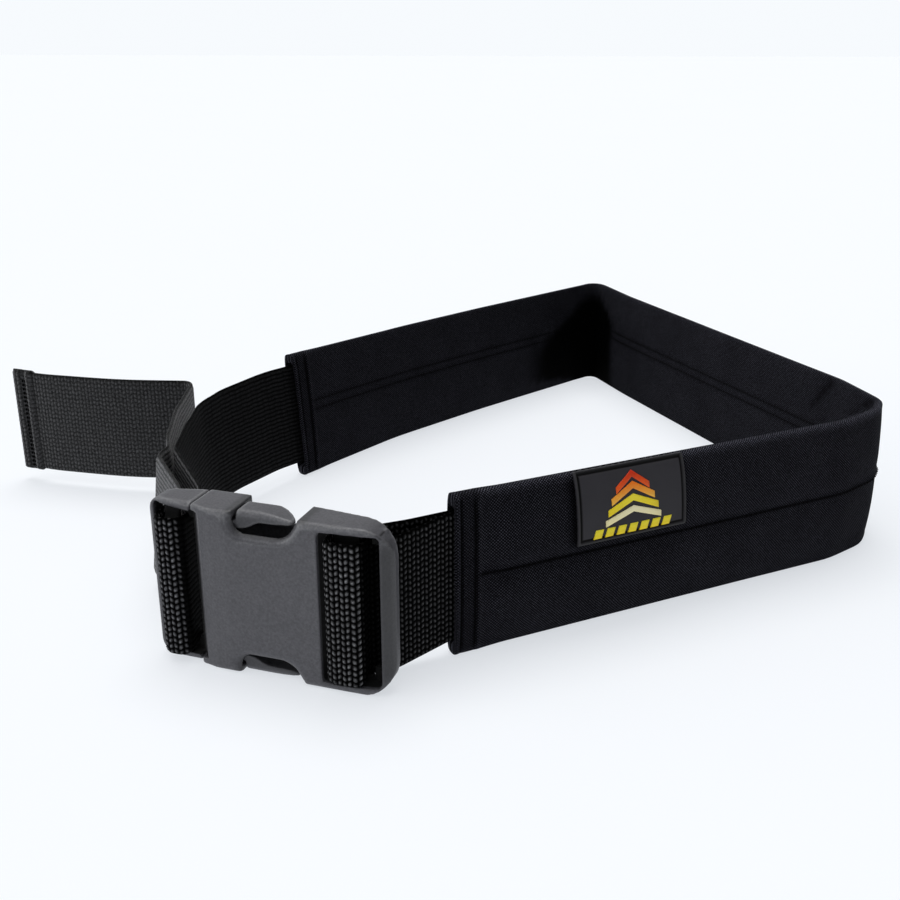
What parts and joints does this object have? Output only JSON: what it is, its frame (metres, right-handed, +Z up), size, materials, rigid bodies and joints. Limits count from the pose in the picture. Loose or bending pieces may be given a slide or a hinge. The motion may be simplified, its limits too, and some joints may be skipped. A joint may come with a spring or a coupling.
{
  "type": "padded utility belt",
  "caption": "Padded fabric waist belt closed in a loop by a side release buckle, with a loose webbing tail, standing on its lower edge.",
  "frame": {"origin": "middle of the footprint, on the surface that the lower edge stands on", "axes": "+Z up across the belt's width, +X along the buckle from its prong half to its socket half, +Y from the buckle into the loop"},
  "size_m": [0.4094, 0.4136, 0.063],
  "materials": {
    "sleeve_fabric": "matte black woven nylon",
    "webbing": "coarse black woven webbing with a slight sheen",
    "buckle_plastic": "fine moulded satin black",
    "label_rubber": "smooth moulded black with a raised rim"
  },
  "bodies": {
    "root": {"padded_sleeve": "sleeve_fabric", "webbing_strap": "webbing", "buckle_socket": "buckle_plastic", "buckle_prongs": "buckle_plastic", "label_patch": "label_rubber"}
  },
  "joints": []
}
